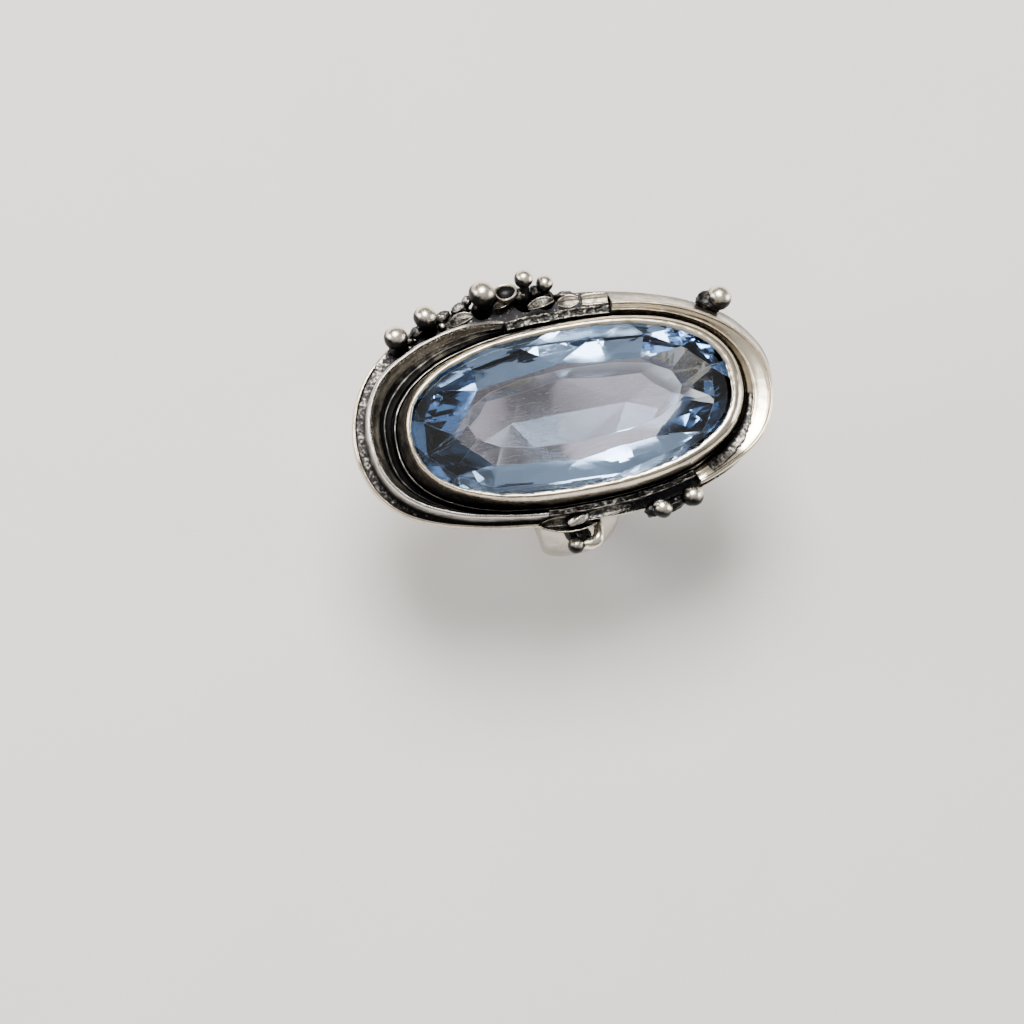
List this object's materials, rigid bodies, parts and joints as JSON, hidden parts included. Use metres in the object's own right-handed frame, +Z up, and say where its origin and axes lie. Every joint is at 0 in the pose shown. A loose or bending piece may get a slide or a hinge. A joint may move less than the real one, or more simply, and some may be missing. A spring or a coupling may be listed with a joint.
{
  "type": "cocktail ring",
  "caption": "Cocktail ring with a long faceted oval stone in a burnished bezel, wrapped collars, ball-ended wires and leaves on an open back, and a tapered band.",
  "frame": {"origin": "centre of the finger hole, midway along the band's width", "axes": "+X along the finger and along the stone's length, towards the fingertip; +Z up through the stone; -Y the front edge"},
  "size_m": [0.0368, 0.0243, 0.0256],
  "materials": {
    "polished_silver": "warm polished silver, slightly brushed and worn at the edges",
    "blackened_silver": "dark oxidised silver with soft highlights on the creases",
    "worn_silver": "grey oxidised silver rubbed back on the high places",
    "blue_stone": "clear pale blue faceted stone"
  },
  "bodies": {
    "root": {"back_plate": "worn_silver", "bearing_ring": "worn_silver", "bezel_wall": "polished_silver", "blossom_cup": "worn_silver", "border_wire": "polished_silver", "front_ball_wire_1": "polished_silver", "front_ball_wire_2": "polished_silver", "front_granule_1": "polished_silver", "front_granule_2": "polished_silver", "front_leaf": "worn_silver", "front_rib_strip": "worn_silver", "gallery_wire": "worn_silver", "left_collar": "blackened_silver", "rear_ball_wire_1": "polished_silver", "rear_ball_wire_2": "polished_silver", "rear_ball_wire_3": "polished_silver", "rear_ball_wire_4": "polished_silver", "rear_ball_wire_5": "polished_silver", "rear_leaf_1": "worn_silver", "rear_leaf_2": "worn_silver", "rear_leaf_3": "polished_silver", "rear_leaf_4": "polished_silver", "rear_rib_strip": "worn_silver", "right_collar": "polished_silver", "seed_granule_1": "polished_silver", "seed_granule_2": "polished_silver", "seed_granule_3": "polished_silver", "shank": "polished_silver", "slope_granule": "polished_silver", "stone": "blue_stone", "torn_overlay": "worn_silver"}
  },
  "joints": []
}
